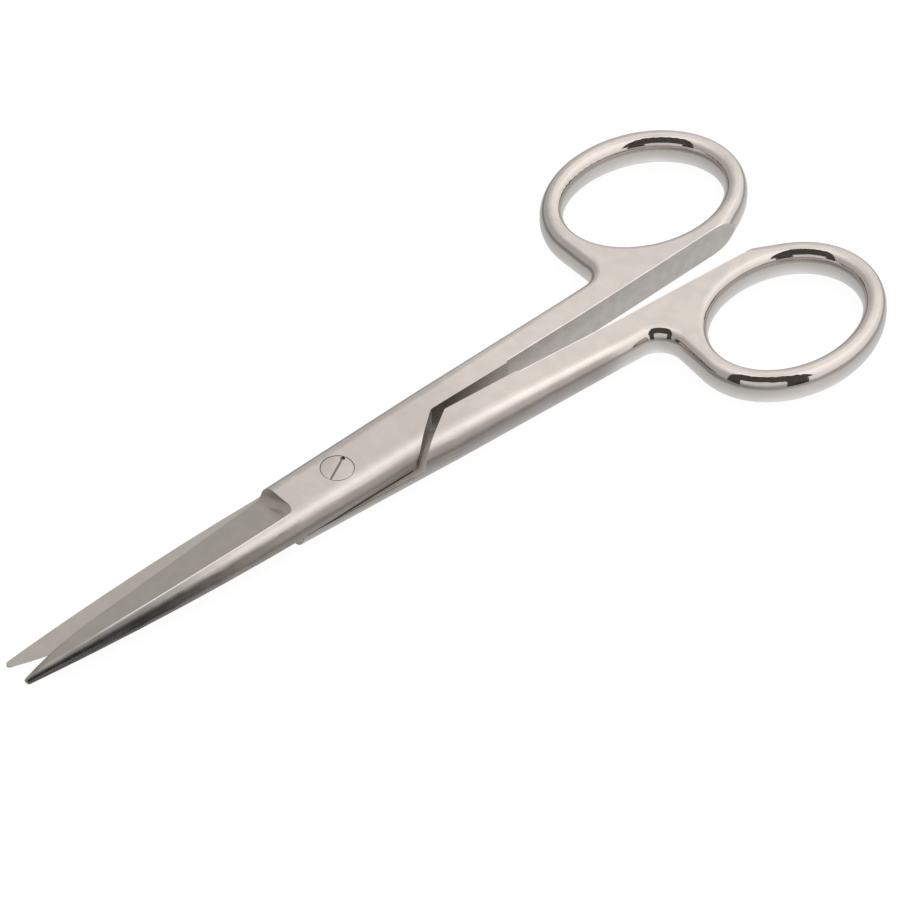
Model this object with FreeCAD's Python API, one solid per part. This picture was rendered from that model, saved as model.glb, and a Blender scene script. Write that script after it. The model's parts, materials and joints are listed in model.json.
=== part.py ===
import FreeCAD, Part
import math
import os

from FreeCAD import Vector

# Dressing scissors, millimetres.
# Origin: on the pivot axis, at the height of the face the closed lap joint rests on.
# +X runs along the closed scissors from the pivot to the finger rings, +Z is the pivot axis.
# Both halves are the same forging. The lower one is the upper one turned over about X.
# A half is drawn in its own frame: mating plane z = 0, pivot at the origin, shank along +X,
# cutting edge towards +Y, finger ring on +Y. Its blade and lap plate fill z > 0.

# Driving dimensions: joint
REST_HALF_ANGLE = 2.56      # each half is turned this far from the centre line as pictured
CLOSED_HALF_ANGLE = 0.65    # and this far when the stop lands meet
JOINT_HALF_THICKNESS = 3.3
LAP_CLEARANCE = 0.04        # between the two lap plates, shared by both
JOINT_HALF_WIDTH = 5.15     # pivot axis to the rounded shank side, at the mating plane
SPINE_SIDE_START = 4.55     # pivot axis to the spine side of the lap plate at the blade's heel
SPINE_SIDE_END = 5.2        # and at its shoulder
JOINT_EDGE_ROUND = 2.75     # how far the rounded sides reach in from the outline
SHOULDER_ANGLE = 36.5       # of the oblique shoulders, from the centre line
SHOULDER_X = 17.0           # where the lap plate's shoulder meets the inner flat
SHOULDER_GAP = 0.75         # square across the closed gap between the shoulders
SHOULDER_CORNER = 0.9       # rounding where the shoulder turns into the inner face

# Driving dimensions: blade
HEEL_X = 9.4                # pivot axis to the end wall of the bevel
BLADE_REACH = 54.8          # pivot axis to the tip
BEVEL_WHEEL_RADIUS = 1.5    # concave run-out at the end of the bevel
BEVEL_FOOT_HEEL = 5.25      # where the bevel plane meets the mating plane, beside the heel
BEVEL_FOOT_TIP = 2.5        # and beside the tip
BEVEL_ANGLE = 24.0          # of the bevel plane to the mating plane
EDGE_HEEL = 4.95            # cutting edge to centre line at the heel
EDGE_BEND_X = 41.0          # pivot axis to the place where the edge starts to curve in
EDGE_BEND = 3.2             # cutting edge to centre line there
EDGE_TIP = 0.87             # and at the tip
TIP_BEVEL_ANGLE = 38.0      # of the steeper bevel that follows the curved edge
TIP_BEVEL_FOOT = 0.12       # how far outside the edge it would meet the mating plane
TIP_BACK = 0.12             # back of the blade to centre line at the tip
TIP_THICKNESS = 0.8
TIP_ROUND = 0.28
SPINE_BOW = 0.58            # how far the back bows out from a straight line, heel to tip
SPINE_ROUND_TIP = 0.85      # reach of the rounded back at the tip
TAPER_POWER = 1.25          # the blade thins slowly at first, then evenly
ROUND_POWER = 2.6           # the rounded back keeps its reach and narrows close to the tip
BLADE_SHARES = [0.0, 0.08, 0.25, 0.45, 0.65, 0.83, 1.0]     # of the length, where sections lie

# Driving dimensions: shank
SHANK_HALF_THICKNESS = 2.65
SHANK_WIDTH = 4.75          # centre line to the outer side where the ring begins
SHANK_END_X = 47.5          # end of the tapering shank
TAPER_START_X = 19.0        # start of the tapering shank, just past the shoulder
INNER_FLAT = -0.1           # height of the ground inner flat over the centre line
NOTCH_X = 31.0              # end of the stop land, start of the ground flat
NOTCH_LENGTH = 0.5

# Driving dimensions: finger ring
RING_END = 85.23            # pivot axis to the ring's far end
RING_OUT = 25.2             # centre line to the ring's far side
RING_SUNK = 0.46            # how far the oval would run on past the ground inner flat
RING_LEAVE = 24.0           # slope of the oval where the outline leaves it for the inner flat
RING_TILT = -8.5            # long axis of the oval, from the centre line
RING_HOLE_LONG = 12.55      # long half axis of the finger hole
RING_METAL = 3.4            # width of the ring's metal
RING_FLAT = 0.24            # flat left along the top of the ring between its rounded sides
ROOT_FILLET = 3.2           # hollow between the shank and the ring

# Driving dimensions: joint screw
HEAD_DIAMETER = 4.7
HEAD_HEIGHT = 1.25
HEAD_CLEARANCE = 0.06       # radial, head in its counterbore
NECK_DIAMETER = 3.4
NECK_CLEARANCE = 0.03       # radial, the running fit that the upper half turns on
THREAD_DIAMETER = 2.8
THREAD_CLEARANCE = 0.02     # radial, plain bore standing for the thread
SEAT_CLEARANCE = 0.03       # under the head, and under the neck
HEAD_EDGE_BREAK = 0.12
SLOT_WIDTH = 0.45
SLOT_DEPTH = 0.6
SLOT_ANGLE = 29.0           # of the slot as pictured, from +X
TAIL_EDGE_BREAK = 0.2
TAIL_RECESS = 0.05          # end of the tail above the lower face

# Working sizes
BAND_ANGLES = [0.0, 32.0, 56.0, 74.0, 90.0]     # rounded sides are made of bands, side to crest
REACH_OUT = 6 * JOINT_HALF_WIDTH        # cutters only have to be this large
DEEP = 4 * JOINT_HALF_THICKNESS
OVERRUN = 1.0               # blanks run this far past the face they are cut back to
NEAR = 0.001                # for picking edges by their position


def tan(degrees):
    return math.tan(math.radians(degrees))


def prism(points, z_low, z_high):
    """A straight prism over a plan polygon."""
    corners = [Vector(x, y, z_low) for x, y in points]
    face = Part.Face(Part.makePolygon(corners + corners[:1]))
    return face.extrude(Vector(0, 0, z_high - z_low))


def cylinder(radius, z_low, z_high):
    return Part.makeCylinder(radius, z_high - z_low, Vector(0, 0, z_low))


def quarter_ellipse(x, centre_y, centre_z, reach, rise, start):
    """A quarter of an upright ellipse in the plane x, as one short arc for each band.

    It starts at an angle from +Y, 0 for a side and 90 or -90 for a crest, and turns towards +Z.
    """
    turns = BAND_ANGLES if start == 0 else [90 - angle for angle in reversed(BAND_ANGLES)]
    centre = Vector(x, centre_y, centre_z)
    if reach >= rise:
        ellipse = Part.Ellipse(centre + Vector(0, reach, 0), centre + Vector(0, 0, rise), centre)
    else:
        ellipse = Part.Ellipse(centre + Vector(0, 0, rise), centre - Vector(0, reach, 0), centre)
        start -= 90
    angles = [math.radians(start + turn) for turn in turns]
    return [Part.Arc(ellipse, low, high).toShape() for low, high in zip(angles, angles[1:])]


def line(first, second):
    return Part.LineSegment(first, second).toShape()


def bar_section(x, outer, edge_round, half_thickness, wall, inner):
    """Section of the shank: sharp inner face at y = inner, outer side a tall oval."""
    rise = half_thickness - wall
    flat_end = outer - edge_round
    return Part.Wire([
        line(Vector(x, inner, -half_thickness), Vector(x, flat_end, -half_thickness)),
        *quarter_ellipse(x, flat_end, -wall, edge_round, rise, -90),
        line(Vector(x, outer, -wall), Vector(x, outer, wall)),
        *quarter_ellipse(x, flat_end, wall, edge_round, rise, 0),
        line(Vector(x, flat_end, half_thickness), Vector(x, inner, half_thickness)),
        line(Vector(x, inner, half_thickness), Vector(x, inner, -half_thickness)),
    ])


def plate_side(outer, run):
    """The lap plate with its +Y side rounded over, from the heel on, and square far beyond -Y."""
    x = -HEEL_X
    top = JOINT_HALF_THICKNESS
    foot = LAP_CLEARANCE / 2
    inner = -2 * JOINT_HALF_WIDTH
    flat_end = outer - JOINT_EDGE_ROUND
    section = Part.Wire([
        line(Vector(x, inner, foot), Vector(x, outer, foot)),
        *quarter_ellipse(x, flat_end, foot, JOINT_EDGE_ROUND, top - foot, 0),
        line(Vector(x, flat_end, top), Vector(x, inner, top)),
        line(Vector(x, inner, top), Vector(x, inner, foot)),
    ])
    return Part.Face(section).extrude(run)


def blade_back(share):
    """Back of the blade below the centre line, share 0 at its root and 1 at the tip."""
    straight = SPINE_SIDE_START + share * (TIP_BACK - SPINE_SIDE_START)
    return -straight - 4 * SPINE_BOW * share * (1 - share)


def blade_section(share):
    """Section of the blade blank: rounded back, flat top, mating plane below."""
    x = -HEEL_X - share * (BLADE_REACH - HEEL_X)
    foot = LAP_CLEARANCE / 2
    top = JOINT_HALF_THICKNESS - (JOINT_HALF_THICKNESS - TIP_THICKNESS) * share ** TAPER_POWER
    reach = JOINT_EDGE_ROUND - (JOINT_EDGE_ROUND - SPINE_ROUND_TIP) * share ** ROUND_POWER
    back = blade_back(share)
    ridge = back + reach
    far = EDGE_HEEL + OVERRUN
    return Part.Wire([
        line(Vector(x, back, foot), Vector(x, far, foot)),
        line(Vector(x, far, foot), Vector(x, far, top)),
        line(Vector(x, far, top), Vector(x, ridge, top)),
        *quarter_ellipse(x, ridge, foot, reach, top - foot, 90),
    ])


def blade_blank():
    """The blade before its plan outline and its bevel are cut."""
    return Part.makeLoft([blade_section(share) for share in BLADE_SHARES], True, False)


def edge_points():
    """The cutting edge in plan: its heel, the bend, the tip, and the centre of the arc between.

    The edge runs straight to the bend, then in an arc that is tangent to it into the tip.
    """
    heel = Vector(-HEEL_X, EDGE_HEEL, 0)
    bend = Vector(-EDGE_BEND_X, EDGE_BEND, 0)
    tip = Vector(-BLADE_REACH, EDGE_TIP, 0)
    inward = Vector(0, 0, 1).cross(bend - heel).normalize()
    step = tip - bend
    return heel, bend, tip, bend + inward * (step.dot(step) / (2 * step.dot(inward)))


def edge_waste():
    """What is cut away beyond the cutting edge."""
    heel, bend, tip, centre = edge_points()
    halfway = (bend + tip - centre * 2).normalize()
    middle = centre + halfway * (bend - centre).Length
    past_tip = tip - Vector(REACH_OUT, 0, 0)
    far = past_tip + Vector(0, REACH_OUT, 0)
    far_heel = Vector(heel.x, far.y, 0)
    outline = Part.Wire([
        line(heel, bend),
        Part.Arc(bend, middle, tip).toShape(),
        line(tip, past_tip),
        line(past_tip, far),
        line(far, far_heel),
        line(far_heel, heel),
    ])
    waste = Part.Face(outline).extrude(Vector(0, 0, 2 * DEEP))
    waste.translate(Vector(0, 0, -DEEP))
    return waste


def side_waste():
    """Beside the blade's root: what lies outside the rounded side of the lap plate."""
    foot = LAP_CLEARANCE / 2
    centre = JOINT_HALF_WIDTH - JOINT_EDGE_ROUND
    top = JOINT_HALF_THICKNESS
    x = -HEEL_X
    section = Part.Wire([
        *quarter_ellipse(x, centre, foot, JOINT_EDGE_ROUND, top - foot, 0),
        line(Vector(x, centre, top), Vector(x, centre, DEEP)),
        line(Vector(x, centre, DEEP), Vector(x, REACH_OUT, DEEP)),
        line(Vector(x, REACH_OUT, DEEP), Vector(x, REACH_OUT, foot)),
        line(Vector(x, REACH_OUT, foot), Vector(x, JOINT_HALF_WIDTH, foot)),
    ])
    return Part.Face(section).extrude(Vector(-2 * BEVEL_WHEEL_RADIUS, 0, 0))


def bevel_cutter():
    """The ground bevel: a plane tilted to the edge, ending in the wheel's hollow at the heel."""
    run = BLADE_REACH - HEEL_X + REACH_OUT
    radius = BEVEL_WHEEL_RADIUS
    diagonal = radius * math.sin(math.pi / 4)
    low = Vector(-run, 0, 0)
    hollow_start = Vector(-radius, 0, 0)
    hollow_middle = Vector(diagonal - radius, 0, radius - diagonal)
    hollow_end = Vector(0, 0, radius)
    wall_top = Vector(0, 0, DEEP)
    far_top = Vector(-run, 0, DEEP)
    side = Part.Wire([
        line(low, hollow_start),
        Part.Arc(hollow_start, hollow_middle, hollow_end).toShape(),
        line(hollow_end, wall_top),
        line(wall_top, far_top),
        line(far_top, low),
    ])
    cutter = Part.Face(side).extrude(Vector(0, 2 * REACH_OUT, 0))
    cutter.translate(Vector(0, -REACH_OUT, 0))
    # The plane falls towards the edge, then swings in plan so that its foot meets the tip.
    cutter.rotate(Vector(0, 0, 0), Vector(1, 0, 0), -BEVEL_ANGLE)
    swing = math.degrees(math.atan2(BEVEL_FOOT_HEEL - BEVEL_FOOT_TIP, BLADE_REACH - HEEL_X))
    cutter.rotate(Vector(0, 0, 0), Vector(0, 0, 1), swing)
    cutter.translate(Vector(-HEEL_X, BEVEL_FOOT_HEEL, LAP_CLEARANCE / 2))
    return cutter


def tip_bevel_cutter():
    """A steeper bevel that follows the curved edge round, and thins the blade beside the tip."""
    bend, tip, centre = edge_points()[1:]
    outward = (bend - centre).normalize()
    foot = bend + outward * TIP_BEVEL_FOOT + Vector(0, 0, LAP_CLEARANCE / 2)
    fall = Vector(0, 0, OVERRUN * tan(TIP_BEVEL_ANGLE))
    far = foot + outward * OVERRUN
    near = foot - outward * (DEEP / tan(TIP_BEVEL_ANGLE))
    section = Part.makePolygon([far - fall, near + Vector(0, 0, DEEP), far + Vector(0, 0, DEEP),
                                far - fall])
    turn = 2 * math.degrees((bend - centre).getAngle(tip - centre))
    return Part.Face(section).revolve(centre, Vector(0, 0, 1), turn)


def tip_waste():
    """Takes the two sharp plan corners off the tip."""
    x = -BLADE_REACH
    low = -TIP_BACK - TIP_ROUND
    high = EDGE_TIP + TIP_ROUND
    block = Part.makeBox(2 * TIP_ROUND, high - low, 2 * DEEP,
                         Vector(x - TIP_ROUND, low, -DEEP))
    nose = Part.makeBox(REACH_OUT, TIP_BACK + EDGE_TIP, 2 * DEEP, Vector(x, -TIP_BACK, -DEEP))
    corners = [edge for edge in nose.Edges
               if abs(edge.CenterOfMass.z) < NEAR and abs(edge.CenterOfMass.x - x) < NEAR]
    return block.cut(nose.makeFillet(TIP_ROUND, corners))


def blade():
    """Rounded back, ground bevel, curved edge and blunt tip."""
    shape = blade_blank()
    for waste in (edge_waste(), side_waste(), bevel_cutter(), tip_bevel_cutter(), tip_waste()):
        shape = shape.cut(waste)
    return shape


def lap_plate():
    """The half-thick plate from the heel to the start of the shank's taper."""
    length = TAPER_START_X + HEEL_X
    widening = (SPINE_SIDE_END - SPINE_SIDE_START) / (SHOULDER_X + HEEL_X)
    edge_side = plate_side(JOINT_HALF_WIDTH, Vector(length, 0, 0))
    spine_side = plate_side(SPINE_SIDE_START, Vector(length, widening * length, 0))
    return edge_side.common(spine_side.mirror(Vector(0, 0, 0), Vector(0, 1, 0)))


def shank_root():
    """The other half of the thickness, beyond the oblique wall of the recess."""
    foot = LAP_CLEARANCE / 2
    wall_shift = SHOULDER_GAP / math.sin(math.radians(SHOULDER_ANGLE))
    start = SHOULDER_X + wall_shift - (JOINT_HALF_WIDTH + OVERRUN) / tan(SHOULDER_ANGLE)
    section = bar_section(start, JOINT_HALF_WIDTH, JOINT_EDGE_ROUND, JOINT_HALF_THICKNESS,
                          foot, -OVERRUN)
    bar = Part.Face(section).extrude(Vector(TAPER_START_X - start, 0, 0))
    upper_side = prism([(start - OVERRUN, -REACH_OUT), (REACH_OUT, -REACH_OUT),
                        (REACH_OUT, REACH_OUT), (start - OVERRUN, REACH_OUT)], foot, DEEP)
    wall_low = SHOULDER_X + wall_shift + REACH_OUT / tan(SHOULDER_ANGLE)
    wall_high = SHOULDER_X + wall_shift - REACH_OUT / tan(SHOULDER_ANGLE)
    recess = prism([(wall_low, -REACH_OUT), (wall_high, REACH_OUT),
                    (wall_high - REACH_OUT, REACH_OUT),
                    (wall_high - REACH_OUT, -REACH_OUT)], -DEEP, DEEP)
    return bar.cut(upper_side).cut(recess)


def ring_side():
    """Reach of the rounded sides where the ring begins, and the stretch that makes them oval."""
    reach = (RING_METAL - RING_FLAT) / 2
    stretch = SHANK_HALF_THICKNESS / (RING_METAL / 2)
    return reach, stretch


def shank():
    """Tapers from the joint's section to the section that the ring starts with."""
    reach, stretch = ring_side()
    wall = SHANK_HALF_THICKNESS - reach * stretch
    start = bar_section(TAPER_START_X, JOINT_HALF_WIDTH, JOINT_EDGE_ROUND,
                        JOINT_HALF_THICKNESS, LAP_CLEARANCE / 2, -OVERRUN)
    end = bar_section(SHANK_END_X, SHANK_WIDTH, reach, SHANK_HALF_THICKNESS, wall, -OVERRUN)
    return Part.makeLoft([start, end], True, True)


def oval(centre, long_axis, short_axis):
    """A tilted oval about the ring's centre, in plan."""
    ellipse = Part.Ellipse(Vector(0, 0, 0), long_axis, short_axis)
    ellipse.rotate(FreeCAD.Placement(Vector(0, 0, 0), Vector(0, 0, 1), RING_TILT))
    ellipse.translate(centre)
    return ellipse


def in_layers(body, levels):
    """The same body as a stack of layers, which divides its rounded sides into bands."""
    box = body.BoundBox
    box.enlarge(OVERRUN)
    layers = []
    for low, high in zip([box.ZMin] + levels, levels + [box.ZMax]):
        layer = Part.makeBox(box.XLength, box.YLength, high - low, Vector(box.XMin, box.YMin, low))
        layers.append(body.common(layer))
    return layers[0].fuse(layers[1:])


def handle_end():
    """Finger ring with its root, drawn flat and full-round, then stretched to an oval section."""
    cosine = math.cos(math.radians(RING_TILT))
    sine = math.sin(math.radians(RING_TILT))
    long_axis = RING_HOLE_LONG + RING_METAL
    depth = (RING_OUT - INNER_FLAT + RING_SUNK) / 2
    short_axis = math.sqrt(depth ** 2 - (long_axis * sine) ** 2) / cosine
    centre = Vector(RING_END - math.hypot(long_axis * cosine, short_axis * sine),
                    RING_OUT - depth, 0)
    outer = oval(centre, long_axis, short_axis)
    # The leftmost point of the oval, and the place where the outline leaves it.
    left_angle = math.atan2(-short_axis * sine, long_axis * cosine) + math.pi
    slope = math.radians(RING_LEAVE - RING_TILT)
    leave_angle = math.atan2(-math.cos(slope) / long_axis, math.sin(slope) / short_axis)
    left = outer.value(left_angle)
    leave = outer.value(leave_angle)
    foot = Vector(SHANK_END_X, leave.y - (leave.x - SHANK_END_X) * tan(RING_LEAVE), 0)
    hollow = ROOT_FILLET * math.sin(math.pi / 4)
    start = Vector(SHANK_END_X, SHANK_WIDTH, 0)
    root_start = Vector(left.x - ROOT_FILLET, SHANK_WIDTH, 0)
    root_middle = root_start + Vector(hollow, ROOT_FILLET - hollow, 0)
    root_end = Vector(left.x, SHANK_WIDTH + ROOT_FILLET, 0)
    outline = Part.Wire([
        line(start, root_start),
        Part.Arc(root_start, root_middle, root_end).toShape(),
        line(root_end, left),
        Part.Arc(outer, leave_angle, left_angle).toShape(),
        line(leave, foot),
        line(foot, start),
    ])
    half = RING_METAL / 2
    reach, stretch = ring_side()
    body = Part.Face(outline).extrude(Vector(0, 0, 2 * half))
    rims = [edge for edge in body.Edges
            if abs(abs(edge.CenterOfMass.z - half) - half) < NEAR
            and edge.CenterOfMass.x > SHANK_END_X + NEAR]
    body = body.makeFillet(reach, rims)
    hole = oval(centre, RING_HOLE_LONG, short_axis - RING_METAL).toShape()
    body = body.cut(Part.Face(Part.Wire([hole])).extrude(Vector(0, 0, 2 * half)))
    body = body.makeFillet(reach, [edge for edge in body.Edges if edge.isClosed()])
    body.translate(Vector(0, 0, -half))
    levels = [half - reach + reach * math.sin(math.radians(angle)) for angle in BAND_ANGLES[:-1]]
    body = in_layers(body, sorted([-level for level in levels] + levels))
    matrix = FreeCAD.Matrix()
    matrix.scale(1, 1, stretch)
    return body.transformGeometry(matrix)


def inner_waste():
    """What lies past the inner face: shoulder, stop land, notch and ground flat."""
    land_start = -SHOULDER_X * tan(CLOSED_HALF_ANGLE)
    land_end = -NOTCH_X * tan(CLOSED_HALF_ANGLE)
    low = -REACH_OUT
    slope = tan(SHOULDER_ANGLE)
    block = prism([(SHOULDER_X + (low - land_start) / slope, low),
                   (SHOULDER_X, land_start),
                   (NOTCH_X, land_end),
                   (NOTCH_X + NOTCH_LENGTH, INNER_FLAT),
                   (RING_END + OVERRUN, INNER_FLAT),
                   (RING_END + OVERRUN, low)], -DEEP, DEEP)
    corner = [edge for edge in block.Edges
              if abs(edge.CenterOfMass.x - SHOULDER_X) < NEAR
              and abs(edge.CenterOfMass.z) < NEAR]
    return block.makeFillet(SHOULDER_CORNER, corner)


def half():
    """One half of the scissors in its own frame, before its hole is drilled."""
    shape = lap_plate().fuse([blade(), shank_root(), shank(), handle_end()])
    return shape.cut(inner_waste()).removeSplitter()


def upper_half(blank):
    """Turns on the screw's neck and carries the counterbore of its head."""
    top = JOINT_HALF_THICKNESS
    floor = top - HEAD_HEIGHT - SEAT_CLEARANCE
    shape = blank.cut(cylinder(NECK_DIAMETER / 2 + NECK_CLEARANCE, -DEEP, DEEP))
    return shape.cut(cylinder(HEAD_DIAMETER / 2 + HEAD_CLEARANCE, floor, DEEP))


def lower_half(blank):
    """Drawn as the upper one is, with the screw's threaded hole right through."""
    return blank.cut(cylinder(THREAD_DIAMETER / 2 + THREAD_CLEARANCE, -DEEP, DEEP))


def joint_screw():
    """Flush slotted head, plain neck seated on the lower plate, threaded tail."""
    top = JOINT_HALF_THICKNESS
    head_foot = top - HEAD_HEIGHT
    neck_foot = -LAP_CLEARANCE / 2
    head = cylinder(HEAD_DIAMETER / 2, head_foot, top)
    rim = [edge for edge in head.Edges if abs(edge.CenterOfMass.z - top) < NEAR]
    head = head.makeChamfer(HEAD_EDGE_BREAK, rim)
    tail_end = TAIL_RECESS - top
    tail = cylinder(THREAD_DIAMETER / 2, tail_end, neck_foot)
    rim = [edge for edge in tail.Edges if abs(edge.CenterOfMass.z - tail_end) < NEAR]
    tail = tail.makeChamfer(TAIL_EDGE_BREAK, rim)
    neck = cylinder(NECK_DIAMETER / 2, neck_foot, head_foot)
    slot = Part.makeBox(2 * HEAD_DIAMETER, SLOT_WIDTH, 2 * SLOT_DEPTH,
                        Vector(-HEAD_DIAMETER, -SLOT_WIDTH / 2, top - SLOT_DEPTH))
    slot.rotate(Vector(0, 0, 0), Vector(0, 0, 1), SLOT_ANGLE)
    return head.fuse([neck, tail]).cut(slot)


def turned(shape, axis, angle):
    moved = shape.copy()
    moved.rotate(Vector(0, 0, 0), axis, angle)
    return moved


def main():
    up = Vector(0, 0, 1)
    along = Vector(1, 0, 0)
    blank = half()
    nodes = {
        "upper_half": turned(upper_half(blank), up, REST_HALF_ANGLE),
        "lower_half": turned(turned(lower_half(blank), along, 180), up, -REST_HALF_ANGLE),
        "joint_screw": joint_screw(),
    }
    os.makedirs("parts", exist_ok=True)
    for name, shape in nodes.items():
        shape.translate(Vector(0, 0, JOINT_HALF_THICKNESS))
        shape.exportStep("parts/" + name + ".step")
        box = shape.BoundBox
        print(name, shape.isValid(), len(shape.Solids), "volume", round(shape.Volume, 2),
              "box", [round(value, 2) for value in
                      (box.XMin, box.XMax, box.YMin, box.YMax, box.ZMin, box.ZMax)])


main()
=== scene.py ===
"""Dressing scissors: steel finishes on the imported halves, a modelled screw, and the studio."""

import json
import logging
import math
from dataclasses import dataclass
from enum import Enum

import bpy
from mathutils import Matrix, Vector

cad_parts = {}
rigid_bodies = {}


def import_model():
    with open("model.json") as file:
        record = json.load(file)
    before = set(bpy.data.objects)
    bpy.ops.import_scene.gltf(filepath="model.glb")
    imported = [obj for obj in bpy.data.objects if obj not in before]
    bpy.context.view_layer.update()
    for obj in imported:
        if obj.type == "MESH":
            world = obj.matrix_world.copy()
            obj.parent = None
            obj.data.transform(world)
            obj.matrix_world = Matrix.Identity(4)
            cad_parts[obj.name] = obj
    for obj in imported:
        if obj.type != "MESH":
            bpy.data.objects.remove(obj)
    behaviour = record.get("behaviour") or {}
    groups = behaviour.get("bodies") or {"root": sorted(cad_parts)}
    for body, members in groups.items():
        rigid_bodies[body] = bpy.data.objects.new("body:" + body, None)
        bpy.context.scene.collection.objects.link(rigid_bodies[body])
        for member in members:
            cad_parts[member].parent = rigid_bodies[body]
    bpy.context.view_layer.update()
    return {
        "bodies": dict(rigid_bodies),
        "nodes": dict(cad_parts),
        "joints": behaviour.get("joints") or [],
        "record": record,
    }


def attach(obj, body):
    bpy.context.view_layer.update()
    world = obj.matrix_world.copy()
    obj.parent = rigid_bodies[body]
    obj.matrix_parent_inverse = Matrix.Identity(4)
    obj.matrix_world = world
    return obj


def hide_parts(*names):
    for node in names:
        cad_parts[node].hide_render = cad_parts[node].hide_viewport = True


MM = 0.001
# The middle of the lap joint lies this high over the floor.
JOINT_MIDDLE = 3.3 * MM
# Each half is turned this far from the centre line as pictured.
REST_HALF_ANGLE = math.radians(2.56)

Number = float | bpy.types.NodeSocket
Colour = tuple[float, float, float]
# Where a change begins and where it ends.
Span = tuple[float, float]
# Colour, roughness and relief of one finish, or of several laid over each other.
Surface = tuple[Number, Number, Number]


class Side(Enum):
    """Which way up a half lies. Both halves are the same forging."""

    UPPER = "upper"
    LOWER = "lower"


class Kind(Enum):
    """What a vector stands for when it is taken into another frame."""

    POINT = "POINT"
    DIRECTION = "VECTOR"


@dataclass(frozen=True)
class Finish:
    """How one kind of surface was worked, or painted light and shade laid over it. Lengths are in
    millimetres.
    """

    colour: Colour
    roughness: float
    spread: float           # how far the roughness strays to either side
    grain: float            # marks per millimetre
    stretch: Colour         # draws the marks out: small along them
    depth: float            # strength of the relief
    fineness: float = 2.0   # layers of finer marks in the coarse ones
    mottle: float = 0.03    # how far the colour strays to either side

    def shaded(self, change: float) -> Colour:
        """The colour made lighter by a share, or darker where the share is below zero."""
        return tuple(part * (1 + change) for part in self.colour)


FLAT_SATIN = Finish(
    colour=(0.70, 0.632, 0.582), roughness=0.31, spread=0.02,
    grain=9.0, stretch=(0.3, 1.0, 1.0), depth=0.015)
ROUND_SATIN = Finish(
    colour=(0.88, 0.80, 0.745), roughness=0.24, spread=0.006,
    grain=8.0, stretch=(0.15, 1.0, 1.0), depth=0.0005)
# Painted shade: the steep sides are coloured darker because they take less light.
SIDE_SHADE = Finish(
    colour=(0.49, 0.435, 0.395), roughness=0.26, spread=0.005,
    grain=8.0, stretch=(0.15, 1.0, 1.0), depth=0.0005)
BLADE_BACK = Finish(
    colour=(0.76, 0.70, 0.65), roughness=0.22, spread=0.004,
    grain=6.0, stretch=(0.1, 1.0, 1.0), depth=0.0005)
# Painted reflection: the rounded back near the tip is coloured dark, as dark surroundings would
# show in it.
TIP_DARK_REFLECTION = Finish(
    colour=(0.25, 0.238, 0.222), roughness=0.22, spread=0.02,
    grain=6.0, stretch=(0.1, 1.0, 1.0), depth=0.003, mottle=0.06)
POLISHED = Finish(
    colour=(0.785, 0.715, 0.662), roughness=0.06, spread=0.015,
    grain=0.5, stretch=(1.0, 1.0, 1.0), depth=0.08, fineness=1.0, mottle=0.01)
POLISHED_FLAT = Finish(
    colour=(0.66, 0.60, 0.553), roughness=0.14, spread=0.03,
    grain=1.5, stretch=(0.6, 1.0, 1.0), depth=0.04)
GROUND_FLAT = Finish(
    colour=(0.69, 0.632, 0.582), roughness=0.40, spread=0.03,
    grain=5.0, stretch=(1.0, 1.0, 0.5), depth=0.02, fineness=3.0, mottle=0.06)
# The stop land's own ground finish, coloured darker as painted shade by the shoulder and on the
# walls of shoulder and recess.
STOP_LAND_AND_SHADE = Finish(
    colour=(0.44, 0.39, 0.345), roughness=0.38, spread=0.04,
    grain=6.0, stretch=(0.4, 1.0, 1.0), depth=0.03, mottle=0.08)
BEVEL = Finish(
    colour=(0.628, 0.577, 0.508), roughness=0.30, spread=0.02,
    grain=9.0, stretch=(1.0, 0.12, 0.3), depth=0.012)
MATING = Finish(
    colour=(0.505, 0.467, 0.422), roughness=0.33, spread=0.02,
    grain=8.0, stretch=(1.0, 0.12, 1.0), depth=0.012)
HOLLOW = Finish(
    colour=(0.635, 0.58, 0.512), roughness=0.55, spread=0.03,
    grain=6.0, stretch=(1.0, 1.0, 1.0), depth=0.02)
# Painted highlight: a light line on sharp edges, where a rounded edge would catch the light.
EDGE_HIGHLIGHT = Finish(
    colour=(0.93, 0.87, 0.82), roughness=0.15, spread=0.03,
    grain=3.0, stretch=(1.0, 1.0, 1.0), depth=0.01)
# Painted shade: the lap plate's edges along the seam are coloured almost black, as the gap
# between the halves would shade them.
SEAM_SHADE = Finish(
    colour=(0.09, 0.075, 0.06), roughness=0.5, spread=0.05,
    grain=6.0, stretch=(1.0, 1.0, 1.0), depth=0.02)


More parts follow.
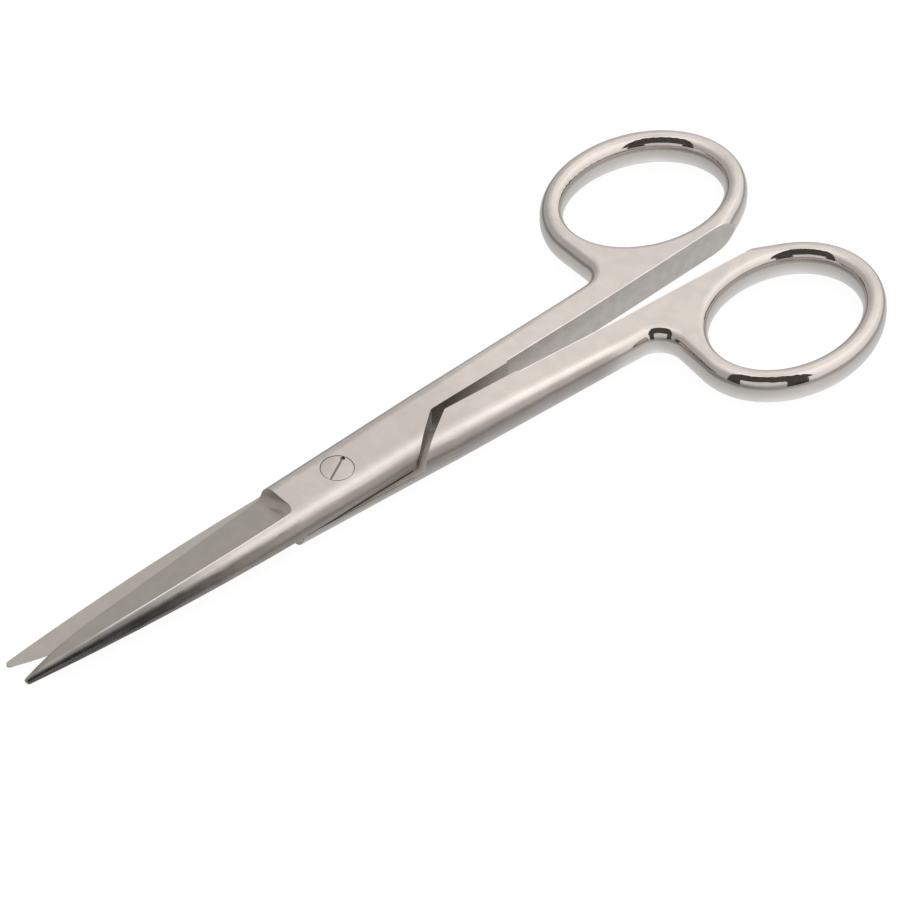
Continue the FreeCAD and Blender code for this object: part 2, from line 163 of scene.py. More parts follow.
class Nodes:
    """Adds nodes to one material or world, and joins them as it goes."""

    clouds_per_mm: float = 0.45         # faint clouds in the colour and roughness of each finish
    cloud_span: Span = (0.35, 0.65)     # between which noise values the colour changes
    rough_span: Span = (0.3, 0.7)       # between which the roughness does
    relief_height: float = 0.02 * MM    # how high a relief of 1 stands

    def __init__(self, tree: bpy.types.NodeTree) -> None:
        """Starts on an empty tree.

        Args:
            tree: the node tree to fill.
        """
        self.tree = tree
        tree.nodes.clear()

    def add(self, kind: str, **inputs: Number | Colour) -> bpy.types.Node:
        """Adds one node.

        Args:
            kind: the node's type name without its common prefix.
            inputs: socket name, with spaces as underscores, to a number, a colour or a socket.

        Returns:
            The new node.
        """
        node = self.tree.nodes.new("ShaderNode" + kind)
        for name, value in inputs.items():
            self.feed(node.inputs[name.replace("_", " ")], value)
        return node

    def feed(self, socket: bpy.types.NodeSocket, value: Number | Colour) -> None:
        """Links a socket to another one, or sets its own value.

        Args:
            socket: the input to fill.
            value: an output socket, a number or a colour.
        """
        if isinstance(value, bpy.types.NodeSocket):
            self.tree.links.new(value, socket)
        elif isinstance(value, tuple) and len(socket.default_value) == 4:
            socket.default_value = (*value, 1.0)
        else:
            socket.default_value = value

    def maths(self, operation: str, *values: Number) -> bpy.types.NodeSocket:
        """Does one sum.

        Args:
            operation: Blender's name of the operation.
            values: its numbers or sockets, in order.

        Returns:
            The result's socket.
        """
        node = self.tree.nodes.new("ShaderNodeMath")
        node.operation = operation
        for socket, value in zip(node.inputs, values):
            self.feed(socket, value)
        return node.outputs[0]

    def ramp(self, value: Number, low: float, high: float, start: float = 0.0,
             end: float = 1.0) -> bpy.types.NodeSocket:
        """Turns a value smoothly from start to end as it goes from low to high.

        Args:
            value: what is read.
            low: where the change begins.
            high: where it ends.
            start: the result up to low.
            end: the result from high on.

        Returns:
            The result's socket.
        """
        node = self.tree.nodes.new("ShaderNodeMapRange")
        node.interpolation_type = "SMOOTHSTEP"
        numbers = (value, low, high, start, end)
        for name, number in zip(("Value", "From Min", "From Max", "To Min", "To Max"), numbers):
            self.feed(node.inputs[name], number)
        return node.outputs["Result"]

    def noise(self, place: bpy.types.NodeSocket, scale: float, detail: float = 2.0,
              stretch: Colour = (1.0, 1.0, 1.0)) -> bpy.types.NodeSocket:
        """A noise pattern, which a stretch draws out into lines.

        Args:
            place: coordinates.
            scale: how many patches per unit of length.
            detail: finer layers.
            stretch: factors on the three coordinates.

        Returns:
            The pattern's value, about 0.5 on average.
        """
        node = self.tree.nodes.new("ShaderNodeMapping")
        node.inputs["Scale"].default_value = stretch
        self.feed(node.inputs["Vector"], place)
        pattern = self.add("TexNoise", Vector=node.outputs[0], Scale=scale, Detail=detail)
        return pattern.outputs[0]

    def mix(self, factor: Number, first: Number, second: Number) -> bpy.types.NodeSocket:
        """Goes from the first number to the second.

        Args:
            factor: 0 for the first, 1 for the second.
            first: the first number.
            second: the second number.

        Returns:
            The result's socket.
        """
        node = self.tree.nodes.new("ShaderNodeMix")
        for socket, value in zip(node.inputs[:1] + node.inputs[2:4], (factor, first, second)):
            self.feed(socket, value)
        return node.outputs[0]

    def tint(self, factor: Number, first: Number | Colour,
             second: Number | Colour) -> bpy.types.NodeSocket:
        """Goes from the first colour to the second.

        Args:
            factor: 0 for the first, 1 for the second.
            first: the first colour.
            second: the second colour.

        Returns:
            The result's socket.
        """
        node = self.tree.nodes.new("ShaderNodeMix")
        node.data_type = "RGBA"
        for socket, value in zip((node.inputs[0], node.inputs[6], node.inputs[7]),
                                 (factor, first, second)):
            self.feed(socket, value)
        return node.outputs[2]

    def near(self, value: Number, middle: float, reach: float) -> bpy.types.NodeSocket:
        """1 where a value lies within the reach of the middle, and 0 elsewhere."""
        distance = self.maths("ABSOLUTE", self.maths("SUBTRACT", value, middle))
        return self.maths("LESS_THAN", distance, reach)

    def above(self, value: Number, limit: float) -> bpy.types.NodeSocket:
        """1 where a value is over the limit, and 0 elsewhere."""
        return self.maths("GREATER_THAN", value, limit)

    def below(self, value: Number, limit: float) -> bpy.types.NodeSocket:
        """1 where a value is under the limit, and 0 elsewhere."""
        return self.maths("LESS_THAN", value, limit)

    def both(self, first: Number, *others: Number) -> bpy.types.NodeSocket:
        """Keeps only where all the masks lie over each other.

        Args:
            first: one mask.
            others: the masks it is cut down by.

        Returns:
            The masks' product.
        """
        for other in others:
            first = self.maths("MULTIPLY", first, other)
        return first

    def scaled(self, colour: Number, factor: Number) -> bpy.types.NodeSocket:
        """Makes a colour darker or lighter.

        Args:
            colour: the colour's socket.
            factor: what each part of it is multiplied by.

        Returns:
            The new colour.
        """
        node = self.add("VectorMath", Vector=colour)
        node.operation = "SCALE"
        self.feed(node.inputs["Scale"], factor)
        return node.outputs["Vector"]

    def worked(self, place: Number, finish: Finish) -> Surface:
        """Draws one finish.

        Args:
            place: coordinates in millimetres.
            finish: how the surface was worked.

        Returns:
            Colour, roughness and relief.
        """
        marks = self.noise(place, finish.grain, finish.fineness, finish.stretch)
        clouds = self.noise(place, self.clouds_per_mm)
        rough = self.ramp(self.mix(0.5, marks, clouds), *self.rough_span,
                          finish.roughness - finish.spread, finish.roughness + finish.spread)
        colour = self.tint(self.ramp(clouds, *self.cloud_span), finish.shaded(-finish.mottle),
                           finish.shaded(finish.mottle))
        return colour, rough, self.maths("MULTIPLY", marks, finish.depth)

    def layer(self, place: Number, finish: Finish, mask: Number, below: Surface) -> Surface:
        """Lays one finish over those below it.

        Args:
            place: coordinates in millimetres.
            finish: how the surface was worked.
            mask: 1 where this finish lies.
            below: what is under it.

        Returns:
            Colour, roughness and relief together.
        """
        colour, rough, relief = self.worked(place, finish)
        return (self.tint(mask, below[0], colour), self.mix(mask, below[1], rough),
                self.mix(mask, below[2], relief))

    def steel(self, colour: Number, roughness: Number, relief: Number) -> None:
        """Ends the tree in a metal shader.

        Args:
            colour: the steel's colour.
            roughness: its roughness.
            relief: height of its marks.
        """
        bump = self.add("Bump", Height=relief, Distance=self.relief_height, Strength=1.0)
        metal = self.add("BsdfPrincipled", Base_Color=colour, Roughness=roughness,
                         Normal=bump.outputs[0])
        metal.inputs["Metallic"].default_value = 1.0
        self.add("OutputMaterial", Surface=metal.outputs[0])


@dataclass
class Spot:
    """Where a shading point lies on a half, and which way its surface looks."""

    place: bpy.types.NodeSocket
    x: bpy.types.NodeSocket
    y: bpy.types.NodeSocket
    z: bpy.types.NodeSocket
    facing_x: bpy.types.NodeSocket
    facing_y: bpy.types.NodeSocket
    facing_z: bpy.types.NodeSocket
    level: bpy.types.NodeSocket     # 1 on a level face, whether it looks up or down


@dataclass
class ForgedHalf:
    """One half: blade, lap plate, shank and ring. Lengths are in millimetres, in its own frame.

    The half's own frame has the mating plane at z = 0, the pivot at the origin, the shank
    along +X and the cutting edge towards +Y. Names that end in along say between which
    places on X one finish goes over into the next, and names that end in facing do so by a
    part of the surface's normal.
    """

    node: str
    side: Side
    body: str
    slot: str
    merge_distance: float = 0.002
    sharp_angle: float = math.radians(28)
    square: float = 0.9             # a face that looks this much one way counts as square to it

    flat_facing: Span = (0.88, 0.999)
    side_facing: Span = (0.86, 0.50)
    side_along: Span = (52.0, 42.0)
    polish_along: Span = (42.0, 50.0)
    ring_along: Span = (50.0, 62.0)
    joint_along: Span = (14.0, 30.0)
    joint_shade: float = 0.86       # the joint is a little darker than the shanks

    blade_along: Span = (-10.0, -30.0)
    tip_along: Span = (-18.0, -40.0)
    tip_facing: Span = (0.99, 0.92)
    nose_along: Span = (-36.0, -47.0)
    nose_share: float = 0.7

    mating_height: float = 0.02
    mating_reach: float = 0.03
    flat_height: float = -0.1       # of the ground inner flat, on Y
    flat_reach: float = 0.3
    flat_start: float = 16.0
    land_along: Span = (31.0, 20.0)
    land_end: float = 31.6
    land_outer_share: float = 0.25
    wall_start: float = 5.0
    wall_end: float = 20.0
    wall_level: float = 0.3
    wall_turn: float = 0.35         # least turn of an oblique wall towards X

    seam_height: float = 0.15
    seam_level: float = 0.7
    plate_reach: float = 9.4        # half the lap plate's length
    bevel_start: float = -9.35
    bevel_turn: float = 0.18
    hollow_along: Span = (-10.9, -10.3)

    highlight_width: float = 0.16
    highlight_start: float = 31.5
    crest_normal: Colour = (-0.0246, 0.4060, 0.9135)
    crest_offset: float = 2.381     # of the bevel's plane from the pivot
    crest_width: float = 0.09
    crest_height: float = 0.3
    crest_start: float = -10.4
    crest_along: Span = (-46.0, -34.0)

    def build(self, frame: dict) -> bpy.types.Object:
        """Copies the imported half, joins its loose facets and smooths its rounded sides.


        Returns:
            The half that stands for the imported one.
        """
        bpy.ops.object.select_all(action="DESELECT")
        half = bpy.data.objects.new(self.node + "_steel", frame["nodes"][self.node].data.copy())
        bpy.context.scene.collection.objects.link(half)
        half.select_set(True)
        bpy.context.view_layer.objects.active = half
        bpy.ops.mesh.customdata_custom_splitnormals_clear()
        bpy.ops.object.mode_set(mode="EDIT")
        bpy.ops.mesh.select_all(action="SELECT")
        bpy.ops.mesh.remove_doubles(threshold=self.merge_distance * MM)
        bpy.ops.mesh.select_all(action="DESELECT")
        bpy.ops.mesh.select_mode(type="EDGE")
        bpy.ops.mesh.edges_select_sharp(sharpness=self.sharp_angle)
        bpy.ops.mesh.mark_sharp()
        bpy.ops.object.mode_set(mode="OBJECT")
        bpy.ops.object.shade_smooth(keep_sharp_edges=True)
        weights = half.modifiers.new("even_flats", "WEIGHTED_NORMAL")
        weights.keep_sharp = True
        bpy.ops.object.modifier_apply(modifier=weights.name)
        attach(half, self.body)
        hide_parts(self.node)
        return half

    def turned(self, nodes: Nodes, vector: bpy.types.NodeSocket,
               kind: Kind) -> bpy.types.NodeSocket:
        """Takes a point or a direction into the half's own frame.

        Args:
            nodes: where to build.
            vector: the point in metres or the direction.
            kind: which of the two it is.

        Returns:
            The point in millimetres, or the direction.
        """
        mapping = nodes.add("Mapping", Vector=vector)
        mapping.vector_type = kind.value
        upper = self.side is Side.UPPER
        mapping.inputs["Rotation"].default_value = (0 if upper else math.pi, 0, -REST_HALF_ANGLE)
        if kind is Kind.POINT:
            middle = JOINT_MIDDLE / MM
            mapping.inputs["Scale"].default_value = (1 / MM,) * 3
            mapping.inputs["Location"].default_value = (0, 0, -middle if upper else middle)
        return mapping.outputs[0]

    def spot(self, nodes: Nodes) -> Spot:
        """Reads the shading point in the half's own frame.

        Args:
            nodes: where to build.

        Returns:
            The point and the way its surface looks.
        """
        source = nodes.add("TexCoord")
        place = self.turned(nodes, source.outputs["Object"], Kind.POINT)
        facing = self.turned(nodes, source.outputs["Normal"], Kind.DIRECTION)
        ways = nodes.add("SeparateXYZ", Vector=facing).outputs
        level = nodes.maths("ABSOLUTE", ways["Z"])
        return Spot(place, *nodes.add("SeparateXYZ", Vector=place).outputs, *ways, level)

    def side_shade_mask(self, nodes: Nodes, spot: Spot) -> bpy.types.NodeSocket:
        """1 on the steep sides of blade, joint and shank, which take less light and are coloured
        darker as painted shade.
        """
        return nodes.both(nodes.ramp(spot.level, *self.side_facing),
                          nodes.ramp(spot.x, *self.side_along))

    def tip_reflection_mask(self, nodes: Nodes, spot: Spot) -> bpy.types.NodeSocket:
        """Finds the back of the blade's tip, which is coloured dark as a painted reflection of
        dark surroundings.

        Args:
            nodes: where to build.
            spot: the shading point.

        Returns:
            1 on the rounded back near the tip, a share of it all round the nose.
        """
        back = nodes.both(nodes.ramp(spot.x, *self.tip_along),
                          nodes.ramp(spot.facing_z, *self.tip_facing))
        nose = nodes.ramp(spot.x, *self.nose_along, 0.0, self.nose_share)
        return nodes.maths("MAXIMUM", back, nose)

    def seam_shade_mask(self, nodes: Nodes, spot: Spot) -> bpy.types.NodeSocket:
        """Finds the edges of the lap plate along the seam, coloured near black as painted shade
        of the gap between the halves.

        Args:
            nodes: where to build.
            spot: the shading point.

        Returns:
            1 on them.
        """
        return nodes.both(nodes.near(spot.z, 0.0, self.seam_height),
                          nodes.below(spot.level, self.seam_level),
                          nodes.near(spot.x, 0.0, self.plate_reach))

    def flat_mask(self, nodes: Nodes, spot: Spot) -> bpy.types.NodeSocket:
        """Finds the ground inner flat.

        Args:
            nodes: where to build.
            spot: the shading point.

        Returns:
            1 on it, from the shoulder to the ring.
        """
        return nodes.both(nodes.near(spot.y, self.flat_height, self.flat_reach),
                          nodes.below(spot.facing_y, -self.square),
                          nodes.above(spot.x, self.flat_start))

    def land_and_wall_shade_mask(self, nodes: Nodes, spot: Spot) -> bpy.types.NodeSocket:
        """Finds the stop land and the oblique walls of shoulder and recess, coloured darker as
        painted shade over the land's own ground finish.

        Args:
            nodes: where to build.
            spot: the shading point.

        Returns:
            1 on the walls and on the land by the shoulder, less towards the land's end.
        """
        land = nodes.both(self.flat_mask(nodes, spot),
                          nodes.ramp(spot.x, *self.land_along, self.land_outer_share, 1.0),
                          nodes.below(spot.x, self.land_end))
        turn = nodes.maths("ABSOLUTE", spot.facing_x)
        walls = nodes.both(nodes.below(spot.level, self.wall_level),
                           nodes.above(turn, self.wall_turn),
                           nodes.above(spot.x, self.wall_start),
                           nodes.below(spot.x, self.wall_end))
        return nodes.maths("MAXIMUM", land, walls)

    def mating_mask(self, nodes: Nodes, spot: Spot) -> bpy.types.NodeSocket:
        """1 on the flat face that slides on the other half."""
        return nodes.both(nodes.near(spot.z, self.mating_height, self.mating_reach),
                          nodes.above(spot.level, self.square))

    def bevel_mask(self, nodes: Nodes, spot: Spot) -> bpy.types.NodeSocket:
        """Finds the ground bevel and the hollow where the wheel stopped.

        Args:
            nodes: where to build.
            spot: the shading point.

        Returns:
            1 on both of them.
        """
        turn = nodes.maths("SUBTRACT", spot.facing_y, spot.facing_x)
        return nodes.both(nodes.below(spot.x, self.bevel_start),
                          nodes.above(turn, self.bevel_turn),
                          nodes.above(spot.facing_z, 0.0))

    def edge_highlight_mask(self, nodes: Nodes, spot: Spot) -> bpy.types.NodeSocket:
        """Finds the edges beside the ground flat and over the bevel, which get a painted
        highlight in place of light caught by a rounded edge.

        Args:
            nodes: where to build.
            spot: the shading point.

        Returns:
            1 along the edges, fading out towards the blade's tip.
        """
        shank = nodes.both(nodes.near(spot.y, self.flat_height, self.highlight_width),
                           nodes.above(spot.level, self.square),
                           nodes.above(spot.x, self.highlight_start))
        offset = nodes.add("VectorMath", Vector=spot.place)
        offset.operation = "DOT_PRODUCT"
        offset.inputs[1].default_value = self.crest_normal
        crest = nodes.both(
            nodes.near(offset.outputs["Value"], self.crest_offset, self.crest_width),
            nodes.above(spot.z, self.crest_height), nodes.ramp(spot.x, *self.crest_along),
            nodes.below(spot.x, self.crest_start))
        return nodes.maths("MAXIMUM", shank, crest)

    def dress(self, half: bpy.types.Object) -> None:
        """Gives the half its steel, finish by finish, some of which are painted shade, a painted
        reflection and a painted highlight.

        Args:
            half: what build returned.
        """
        material = bpy.data.materials.new(self.slot)
        material.use_nodes = True
        nodes = Nodes(material.node_tree)
        spot = self.spot(nodes)
        flat = nodes.ramp(spot.level, *self.flat_facing)
        bevel = self.bevel_mask(nodes, spot)
        surface = nodes.worked(spot.place, ROUND_SATIN)
        # Painted light among these layers: side shade, the dark tip reflection, the edge
        # highlight, the seam shade, and the shade on land and walls.
        for finish, mask in (
                (BLADE_BACK, nodes.ramp(spot.x, *self.blade_along)),
                (SIDE_SHADE, self.side_shade_mask(nodes, spot)),
                (POLISHED, nodes.ramp(spot.x, *self.polish_along)),
                (FLAT_SATIN, flat),
                (POLISHED_FLAT, nodes.both(flat, nodes.ramp(spot.x, *self.ring_along))),
                (TIP_DARK_REFLECTION, self.tip_reflection_mask(nodes, spot)),
                (EDGE_HIGHLIGHT, self.edge_highlight_mask(nodes, spot)),
                (SEAM_SHADE, self.seam_shade_mask(nodes, spot)),
                (MATING, self.mating_mask(nodes, spot)),
                (GROUND_FLAT, self.flat_mask(nodes, spot)),
                (STOP_LAND_AND_SHADE, self.land_and_wall_shade_mask(nodes, spot)),
                (BEVEL, bevel),
                (HOLLOW, nodes.both(bevel, nodes.ramp(spot.x, *self.hollow_along)))):
            surface = nodes.layer(spot.place, finish, mask, surface)
        colour, roughness, relief = surface
        shade = nodes.ramp(spot.x, *self.joint_along, self.joint_shade, 1.0)
        nodes.steel(nodes.scaled(colour, shade), roughness, relief)
        half.data.materials.clear()
        half.data.materials.append(material)


@dataclass
class JointScrew:
    """The flush slotted screw. Lengths are in millimetres, heights over the floor."""

    node: str = "joint_screw"
    body: str = "lower"
    slot: str = "screw_steel"
    top: float = 6.6
    head_radius: float = 2.35
    head_foot: float = 5.35
    neck_radius: float = 1.7
    neck_foot: float = 3.28
    thread_radius: float = 1.4
    tail_end: float = 0.05
    segments: int = 96
    head_edge: float = 0.1
    tail_edge: float = 0.2
    edge_steps: int = 3
    slot_width: float = 0.34
    slot_depth: float = 0.35
    slot_angle: float = math.radians(29)
    cutter_length: float = 7.05         # longer than the head is wide
    pit_radius: float = 0.34
    pit_out: float = 1.95               # from the screw's axis
    pit_segments: int = 24
    pit_rings: int = 12
    smooth_angle: float = math.radians(25)
    square: float = 0.99
    height_slack: float = 0.01
    shaded_depth: Span = (0.30, 0.04)   # below the top, where the slot's shade ends
    slot_shade: float = 0.5
    face_shade: float = 0.84

    def select_face(self, screw: bpy.types.Object, height: float) -> None:
        """Selects the level face at one height, in edit mode.

        Args:
            screw: the screw, open for editing.
            height: the face's height in millimetres.
        """
        bpy.ops.mesh.select_all(action="DESELECT")
        bpy.ops.object.mode_set(mode="OBJECT")
        for face in screw.data.polygons:
            level = abs(face.normal.z) > self.square
            face.select = level and abs(face.center.z - height * MM) < self.height_slack * MM
        bpy.ops.object.mode_set(mode="EDIT")

    def step_down(self, screw: bpy.types.Object, start: float, narrower: float,
                  end: float) -> None:
        """Goes on downwards from the lowest face with a narrower cylinder.

        Args:
            screw: the screw, open for editing.
            start: height of the lowest face now.
            narrower: how much smaller the new radius is.
            end: height of the new lowest face.
        """
        self.select_face(screw, start)
        bpy.ops.mesh.inset(thickness=narrower * MM)
        bpy.ops.mesh.extrude_region_move(
            TRANSFORM_OT_translate={"value": (0, 0, (end - start) * MM)})

    def break_rim(self, screw: bpy.types.Object, height: float, width: float) -> None:
        """Rounds the rim of the level face at one height.

        Args:
            screw: the screw, open for editing.
            height: the face's height.
            width: how far the rounding reaches in.
        """
        self.select_face(screw, height)
        bpy.ops.mesh.region_to_loop()
        bpy.ops.mesh.bevel(offset=width * MM, segments=self.edge_steps, affect="EDGES")

    def cut(self, screw: bpy.types.Object, cutter: bpy.types.Object) -> None:
        """Cuts a shape out of the screw and takes the cutter away.

        Args:
            screw: what is cut.
            cutter: the shape that comes out.
        """
        bpy.ops.object.select_all(action="DESELECT")
        screw.select_set(True)
        bpy.context.view_layer.objects.active = screw
        boolean = screw.modifiers.new("cut", "BOOLEAN")
        boolean.operation = "DIFFERENCE"
        boolean.object = cutter
        bpy.ops.object.modifier_apply(modifier=boolean.name)
        bpy.data.objects.remove(cutter)

    def turn_down(self) -> bpy.types.Object:
        """Turns head, neck and tail, one step after the other, and breaks both rims.

        Returns:
            The screw without its slot.
        """
        bpy.ops.object.select_all(action="DESELECT")
        height = self.top - self.head_foot
        bpy.ops.mesh.primitive_cylinder_add(
            vertices=self.segments, radius=self.head_radius * MM, depth=height * MM,
            location=(0, 0, (self.top - height / 2) * MM))
        screw = bpy.context.object
        screw.name = "turned_screw"
        bpy.ops.object.transform_apply()
        bpy.ops.object.mode_set(mode="EDIT")
        self.step_down(screw, self.head_foot, self.head_radius - self.neck_radius, self.neck_foot)
        self.step_down(screw, self.neck_foot, self.neck_radius - self.thread_radius,
                       self.tail_end)
        self.break_rim(screw, self.top, self.head_edge)
        self.break_rim(screw, self.tail_end, self.tail_edge)
        bpy.ops.object.mode_set(mode="OBJECT")
        return screw

    def cut_slot(self, screw: bpy.types.Object) -> None:
        """Cuts the slot across the head.

        Args:
            screw: the turned screw.
        """
        bpy.ops.object.select_all(action="DESELECT")
        bpy.ops.mesh.primitive_cube_add(size=1, location=(0, 0, self.top * MM),
                                        rotation=(0, 0, self.slot_angle))
        cutter = bpy.context.object
        cutter.scale = (self.cutter_length * MM, self.slot_width * MM, self.slot_depth * 2 * MM)
        bpy.ops.object.transform_apply()
        self.cut(screw, cutter)

    def cut_pit(self, screw: bpy.types.Object) -> None:
        """Cuts the small round pit that a slipping driver wore at one end of the slot.

        Args:
            screw: the slotted screw.
        """
        along = Vector((math.cos(self.slot_angle), math.sin(self.slot_angle), 0))
        bpy.ops.object.select_all(action="DESELECT")
        bpy.ops.mesh.primitive_uv_sphere_add(
            segments=self.pit_segments, ring_count=self.pit_rings, radius=self.pit_radius * MM,
            location=along * self.pit_out * MM + Vector((0, 0, self.top * MM)))
        cutter = bpy.context.object
        bpy.ops.object.transform_apply()
        self.cut(screw, cutter)

    def build(self) -> bpy.types.Object:
        """Turns the screw, then cuts its slot and the worn pit.

        Returns:
            The screw.
        """
        screw = self.turn_down()
        self.cut_slot(screw)
        self.cut_pit(screw)
        bpy.ops.object.shade_smooth_by_angle(angle=self.smooth_angle)
        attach(screw, self.body)
        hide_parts(self.node)
        return screw

    def dress(self, screw: bpy.types.Object) -> None:
        """Gives the screw its steel, finished together with the plate round it.

        Args:
            screw: what build returned.
        """
        material = bpy.data.materials.new(self.slot)
        material.use_nodes = True
        nodes = Nodes(material.node_tree)
        mapping = nodes.add("Mapping", Vector=nodes.add("TexCoord").outputs["Object"])
        mapping.inputs["Scale"].default_value = (1 / MM,) * 3
        colour, roughness, relief = nodes.worked(mapping.outputs[0], FLAT_SATIN)
        height = nodes.add("SeparateXYZ", Vector=mapping.outputs[0]).outputs["Z"]
        deep, shallow = (self.top - depth for depth in self.shaded_depth)
        # Painted shade: the colour darkens down into the slot, and the face itself is kept a
        # little darker.
        shade = nodes.ramp(height, deep, shallow, self.slot_shade, self.face_shade)
        nodes.steel(nodes.scaled(colour, shade), roughness, relief)
        screw.data.materials.clear()
        screw.data.materials.append(material)


@dataclass
class Studio:
    """Floor, daylight tent, dark arch on the camera's side and camera. Metres.

    Spans of the tent are in degrees over the horizon, and its levels are strengths of light.
    """

    floor_size: float = 3.0
    floor_paint: Colour = (0.88, 0.87, 0.86)
    seen_paint: Colour = (0.13, 0.13, 0.13)     # keeps the shadow on what the camera sees
    seen_glow: float = 0.925

    dark_cloth: Colour = (0.085, 0.08, 0.075)
    pale_cloth: Colour = (0.86, 0.86, 0.87)
    arch_right: Vector = Vector((0.068, -0.243, 0.0))
    arch_azimuth: float = math.radians(-30.8)
    arch_width: float = 0.383
    arch_foot: float = -0.05
    arch_height: float = 0.75
    arch_lean: float = 0.03
    gap_start: float = 0.075
    gap_end: float = 0.262
    gap_foot: float = -0.03
    gap_height: float = 0.078

    bright_side: float = math.radians(30)
    side_span: Span = (-0.7, 0.8)
    front_span: Span = (-5, 50)
    front_levels: Span = (0.83, 1.17)
    zenith_span: Span = (58, 88)
    zenith_level: float = 0.88
    back_span: Span = (15, 82)
    back_levels: Span = (0.44, 1.10)
    ground_span: Span = (-88, -24)
    ground_levels: Span = (0.80, 0.52)
    ground_gain: float = 0.10
    skirting_levels: Span = (0.24, 0.40)
    skirting_foot: Span = (-32, -18)
    skirting_top: Span = (-13, -2)
    hue_span: Span = (-40, 0)
    ground_hue: Colour = (0.96, 1.0, 1.03)

    camera_azimuth: float = math.radians(-39.335)
    camera_elevation: float = math.radians(46.456)
    camera_distance: float = 0.802307
    camera_right: float = 0.01547
    camera_up: float = 0.004747
    sensor_width: float = 36.0
    lens_in_frames: float = 5831.05 / 900       # focal length over the picture's width

    def build_floor(self) -> bpy.types.Object:
        """Adds a pale floor that looks white to the camera and keeps a faint shadow.

        Returns:
            The floor.
        """
        bpy.ops.object.select_all(action="DESELECT")
        bpy.ops.mesh.primitive_plane_add(size=self.floor_size)
        floor = bpy.context.object
        floor.name = "floor"
        floor.visible_glossy = False
        material = bpy.data.materials.new("pale_floor")
        material.use_nodes = True
        nodes = Nodes(material.node_tree)
        paint = nodes.add("BsdfDiffuse", Color=self.floor_paint)
        shade = nodes.add("BsdfDiffuse", Color=self.seen_paint)
        glow = nodes.add("Emission", Color=(1.0, 1.0, 1.0), Strength=self.seen_glow)
        seen = nodes.add("AddShader")
        nodes.feed(seen.inputs[0], shade.outputs[0])
        nodes.feed(seen.inputs[1], glow.outputs[0])
        mixed = nodes.add("MixShader", Fac=nodes.add("LightPath").outputs["Is Camera Ray"])
        nodes.feed(mixed.inputs[1], paint.outputs[0])
        nodes.feed(mixed.inputs[2], seen.outputs[0])
        nodes.add("OutputMaterial", Surface=mixed.outputs[0])
        floor.data.materials.append(material)
        return floor

    def build_cloth(self, name: str, colour: Colour) -> bpy.types.Material:
        """Makes a plain matt cloth.

        Args:
            name: the material's name.
            colour: its colour.

        Returns:
            The material.
        """
        material = bpy.data.materials.new(name)
        material.use_nodes = True
        nodes = Nodes(material.node_tree)
        cloth = nodes.add("BsdfDiffuse", Color=colour)
        nodes.add("OutputMaterial", Surface=cloth.outputs[0])
        return material

    def build_arch(self) -> list[bpy.types.Object]:
        """Sets up the dark surround of the tent's opening and the pale card in it.

        Returns:
            The boards, which only the steel shows.
        """
        dark = self.build_cloth("dark_cloth", self.dark_cloth)
        pale = self.build_cloth("pale_cloth", self.pale_cloth)
        foot, low, high = self.arch_foot, self.gap_height, self.arch_height
        parts = {"arch_top": ((-self.arch_lean, self.arch_width, low, high), dark),
                 "arch_right": ((0.0, self.gap_start, foot, low), dark),
                 "arch_left": ((self.gap_end, self.arch_width, foot, low), dark),
                 "arch_card": ((self.gap_start, self.gap_end, self.gap_foot, low), pale)}
        return [self.build_board(name, size, cloth) for name, (size, cloth) in parts.items()]

    def build_board(self, name: str, size: tuple[float, float, float, float],
                    material: bpy.types.Material) -> bpy.types.Object:
        """Puts up one upright board of the arch.

        Args:
            name: the board's name.
            size: start and end along the arch from its right edge, and low and high edge.
            material: its cloth.

        Returns:
            The board.
        """
        start, end, low, high = size
        along = Vector((-math.cos(self.arch_azimuth), -math.sin(self.arch_azimuth), 0))
        middle = self.arch_right + along * (start + end) / 2 + Vector((0, 0, (low + high) / 2))
        bpy.ops.object.select_all(action="DESELECT")
        bpy.ops.mesh.primitive_plane_add(size=1, location=middle, rotation=(
            math.pi / 2, 0, self.arch_azimuth))
        board = bpy.context.object
        board.name = name
        board.scale = (end - start, high - low, 1)
        board.visible_camera = board.visible_diffuse = board.visible_shadow = False
        board.data.materials.append(material)
        return board

    def tent_level(self, nodes: Nodes, rise: Number, facing: Number) -> bpy.types.NodeSocket:
        """Works out how bright the tent is in one direction.

        Args:
            nodes: where to build.
            rise: degrees over the horizon.
            facing: 1 towards the bright side, 0 away from it.

        Returns:
            The strength of light.
        """
        front = nodes.mix(nodes.ramp(rise, *self.zenith_span),
                          nodes.ramp(rise, *self.front_span, *self.front_levels),
                          self.zenith_level)
        back = nodes.ramp(rise, *self.back_span, *self.back_levels)
        sky = nodes.mix(facing, back, front)
        ground = nodes.maths("ADD", nodes.ramp(rise, *self.ground_span, *self.ground_levels),
                             nodes.maths("MULTIPLY", facing, self.ground_gain))
        skirting = nodes.mix(facing, *self.skirting_levels)
        low = nodes.mix(nodes.ramp(rise, *self.skirting_foot), ground, skirting)
        return nodes.mix(nodes.ramp(rise, *self.skirting_top), low, sky)

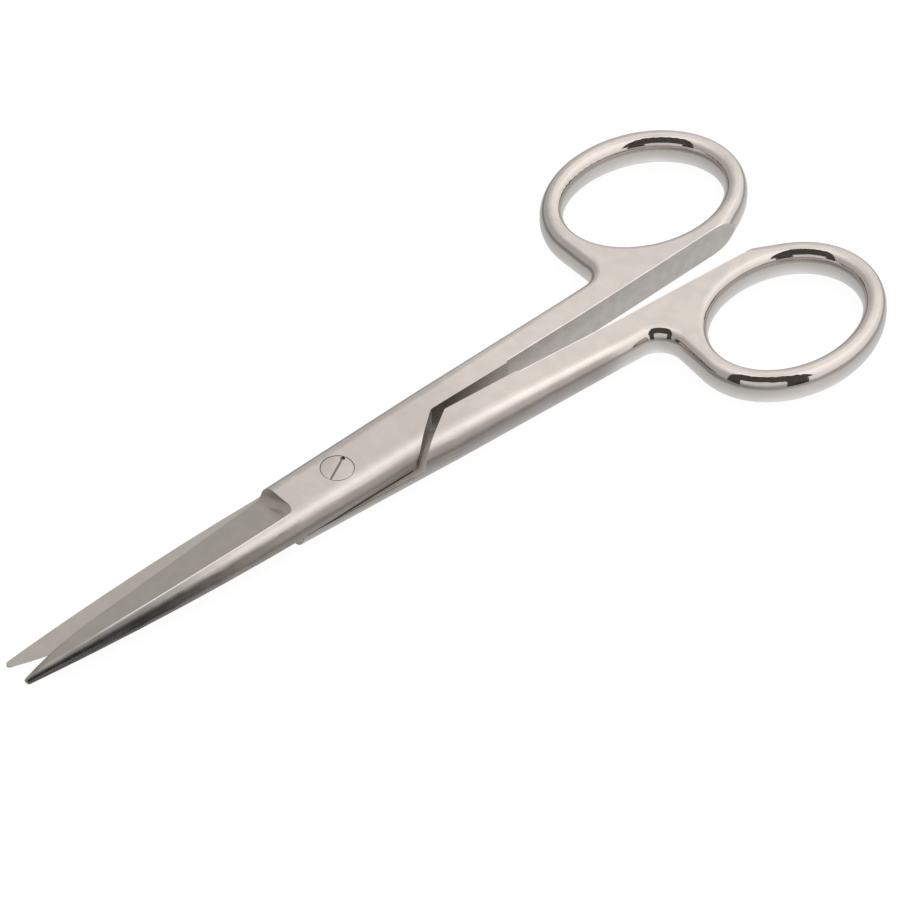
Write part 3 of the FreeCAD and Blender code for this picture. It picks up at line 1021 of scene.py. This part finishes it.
    def build_world(self) -> bpy.types.World:
        """Sets up the inside of a daylight tent, brightest high up on the right-hand side.

        Returns:
            The world.
        """
        world = bpy.data.worlds.new("tent")
        world.use_nodes = True
        bpy.context.scene.world = world
        nodes = Nodes(world.node_tree)
        way = nodes.add("SeparateXYZ", Vector=nodes.add("TexCoord").outputs["Generated"])
        rise = nodes.maths("DEGREES", nodes.maths("ARCSINE", way.outputs["Z"]))
        turn = nodes.maths("ARCTAN2", way.outputs["Y"], way.outputs["X"])
        facing = nodes.maths("COSINE", nodes.maths("ADD", turn, self.bright_side))
        level = self.tent_level(nodes, rise, nodes.ramp(facing, *self.side_span))
        hue = nodes.tint(nodes.ramp(rise, *self.hue_span), self.ground_hue, (1.0, 1.0, 1.0))
        tent = nodes.add("Background", Color=hue, Strength=level)
        white = nodes.add("Background", Color=(1.0, 1.0, 1.0), Strength=1.0)
        mixed = nodes.add("MixShader", Fac=nodes.add("LightPath").outputs["Is Camera Ray"])
        nodes.feed(mixed.inputs[1], tent.outputs[0])
        nodes.feed(mixed.inputs[2], white.outputs[0])
        nodes.add("OutputWorld", Surface=mixed.outputs[0])
        return world

    def build_camera(self) -> bpy.types.Object:
        """Puts the camera at the photograph's viewing angle.

        Returns:
            The camera.
        """
        turn, lift = self.camera_azimuth, self.camera_elevation
        back = Vector((math.sin(turn) * math.cos(lift), -math.cos(turn) * math.cos(lift),
                       math.sin(lift)))
        right = Vector((math.cos(turn), math.sin(turn), 0))
        up = back.cross(right)
        place = back * self.camera_distance + right * self.camera_right + up * self.camera_up
        data = bpy.data.cameras.new("camera")
        data.sensor_width = self.sensor_width
        data.lens = data.sensor_width * self.lens_in_frames
        camera = bpy.data.objects.new("camera", data)
        camera.location = place + Vector((0, 0, JOINT_MIDDLE))
        camera.rotation_euler = back.to_track_quat("Z", "Y").to_euler()
        bpy.context.scene.collection.objects.link(camera)
        bpy.context.scene.camera = camera
        return camera

    def build(self) -> None:
        """Sets everything up around the scissors."""
        self.build_floor()
        self.build_arch()
        self.build_world()
        self.build_camera()
        bpy.context.scene.view_settings.view_transform = "Standard"


def main() -> None:
    """Builds the scene in order."""
    logging.basicConfig(level=logging.INFO, format="%(message)s")
    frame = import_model()
    for half in (ForgedHalf("upper_half", Side.UPPER, "upper", "upper_steel"),
                 ForgedHalf("lower_half", Side.LOWER, "lower", "lower_steel")):
        piece = half.build(frame)
        half.dress(piece)
        logging.info("%s: %d faces", piece.name, len(piece.data.polygons))
    joint_screw = JointScrew()
    screw = joint_screw.build()
    joint_screw.dress(screw)
    logging.info("%s: %d faces", screw.name, len(screw.data.polygons))
    Studio().build()


if __name__ == "__main__":
    main()
